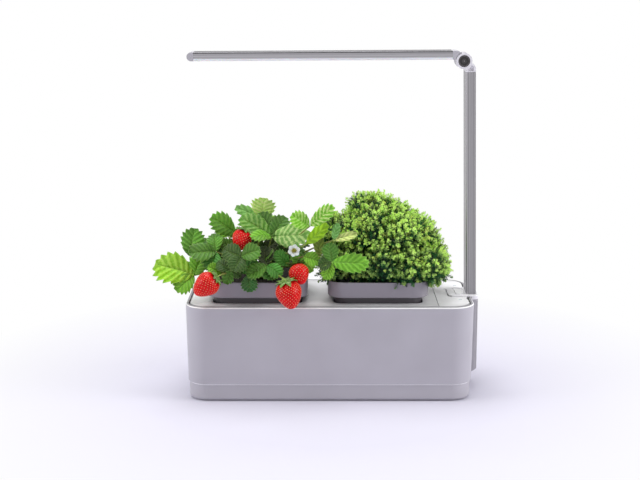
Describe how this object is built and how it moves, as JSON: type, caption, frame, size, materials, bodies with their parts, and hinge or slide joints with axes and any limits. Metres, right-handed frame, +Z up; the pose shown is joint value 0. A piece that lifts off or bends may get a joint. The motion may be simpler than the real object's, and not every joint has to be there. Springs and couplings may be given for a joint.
{
  "type": "countertop hydroponic garden",
  "caption": "Tabletop hydroponic garden: an oblong water tank, lift-out pots with a strawberry plant and a bushy herb, and a fold-down light bar on a pole.",
  "frame": {"origin": "on the table, under the middle of the tank", "axes": "+X along the tank towards the lamp's pole, +Y towards the back, +Z up"},
  "size_m": [0.3948, 0.1806, 0.4191],
  "materials": {
    "base_plastic": "matt light grey",
    "shell_plastic": "fine-grained light grey",
    "ring_rubber": "matt black",
    "screw_steel": "zinc plated",
    "tank_plastic": "dark grey",
    "inlet_black": "black",
    "board_green": "green board",
    "pump_black": "black",
    "pump_grey": "dark grey",
    "rotor_white": "white",
    "hose_rubber": "soft grey",
    "panel_plastic": "pale grey",
    "box_plastic": "grey",
    "chip_black": "black",
    "lens_clear": "clear",
    "contact_brass": "plated",
    "stem_plastic": "white",
    "float_orange": "orange",
    "lid_plastic": "light grey",
    "pot_plastic": "satin grey",
    "sponge_dark": "dark brown, open pored",
    "stalk_green": "fine-haired green",
    "leaf_green": "veined green",
    "berry_red": "moist red",
    "sepal_green": "green",
    "petal_white": "white",
    "herb_green": "fresh green",
    "bracket_plastic": "pale grey",
    "cover_plastic": "pale grey",
    "button_white": "white",
    "pole_aluminium": "satin anodised",
    "head_plastic": "light grey",
    "washer_white": "white",
    "cap_black": "gloss black",
    "diffuser_white": "milky",
    "board_white": "white solder mask",
    "led_yellow": "phosphor"
  },
  "bodies": {
    "tank": {"base_tray": "base_plastic", "body_shell": "shell_plastic", "non_slip_ring": "ring_rubber", "base_screws": "screw_steel", "water_tank": "tank_plastic", "power_inlet": "inlet_black", "power_board": "board_green", "pump_body": "pump_black", "pump_cover": "pump_grey", "pump_hose": "hose_rubber", "hose_spout": "pump_grey", "control_panel": "panel_plastic", "control_box": "box_plastic", "box_screws": "screw_steel", "lamp_socket": "panel_plastic", "control_board": "board_green", "board_parts": "chip_black", "indicator_lenses": "lens_clear", "contact_pads": "contact_brass", "float_stem": "stem_plastic"},
    "rotor": {"pump_rotor": "rotor_white"},
    "float": {"water_float": "float_orange"},
    "lid": {"plant_lid": "lid_plastic"},
    "left_plant": {"left_pot": "pot_plastic", "left_sponge": "sponge_dark", "strawberry_stalks": "stalk_green", "strawberry_leaves": "leaf_green", "strawberries": "berry_red", "berry_sepals": "sepal_green", "strawberry_flower": "petal_white"},
    "right_plant": {"right_pot": "pot_plastic", "right_sponge": "sponge_dark", "herb_stems": "stalk_green", "herb_foliage": "herb_green"},
    "lamp_stand": {"lamp_bracket": "bracket_plastic", "leg_cover": "cover_plastic", "tongue_cover": "cover_plastic", "cover_screws": "screw_steel", "button_board": "board_green", "contact_pins": "contact_brass", "lamp_pole": "pole_aluminium", "pole_screws": "screw_steel", "pole_head": "head_plastic", "hinge_pin": "screw_steel", "hinge_washers": "washer_white", "hinge_caps": "cap_black"},
    "button": {"lamp_button": "button_white"},
    "lamp_arm": {"bar_fitting": "head_plastic", "lamp_bar": "pole_aluminium", "bar_end_cap": "head_plastic", "lamp_diffuser": "diffuser_white", "led_board": "board_white", "lamp_leds": "led_yellow", "bar_screws": "screw_steel"}
  },
  "joints": [
    {"name": "lid_lift", "type": "slide", "parent": "tank", "child": "lid", "axis": [0, 0, 1], "range_m": [0, 0.075]},
    {"name": "left_pot_lift", "type": "slide", "parent": "lid", "child": "left_plant", "axis": [0, 0, 1], "range_m": [0, 0.075]},
    {"name": "right_pot_lift", "type": "slide", "parent": "lid", "child": "right_plant", "axis": [0, 0, 1], "range_m": [0, 0.075]},
    {"name": "lamp_lift", "type": "slide", "parent": "tank", "child": "lamp_stand", "axis": [0, 0, 1], "range_m": [0, 0.1]},
    {"name": "lamp_fold", "type": "hinge", "parent": "lamp_stand", "child": "lamp_arm", "pos_m": [0.16069, 0, 0.40685], "axis": [0, 1, 0], "range_deg": [-25, 90]},
    {"name": "button_press", "type": "slide", "parent": "lamp_stand", "child": "button", "axis": [0, 0, -1], "range_m": [0, 0.0006], "stiffness_N_per_m": 1500, "springref_m": -0.0002},
    {"name": "float_rise", "type": "slide", "parent": "tank", "child": "float", "axis": [0, 0, 1], "range_m": [0, 0.028]},
    {"name": "pump_spin", "type": "hinge", "parent": "tank", "child": "rotor", "pos_m": [0.143, 0.012, 0.0512], "axis": [0, 1, 0], "continuous": true}
  ]
}
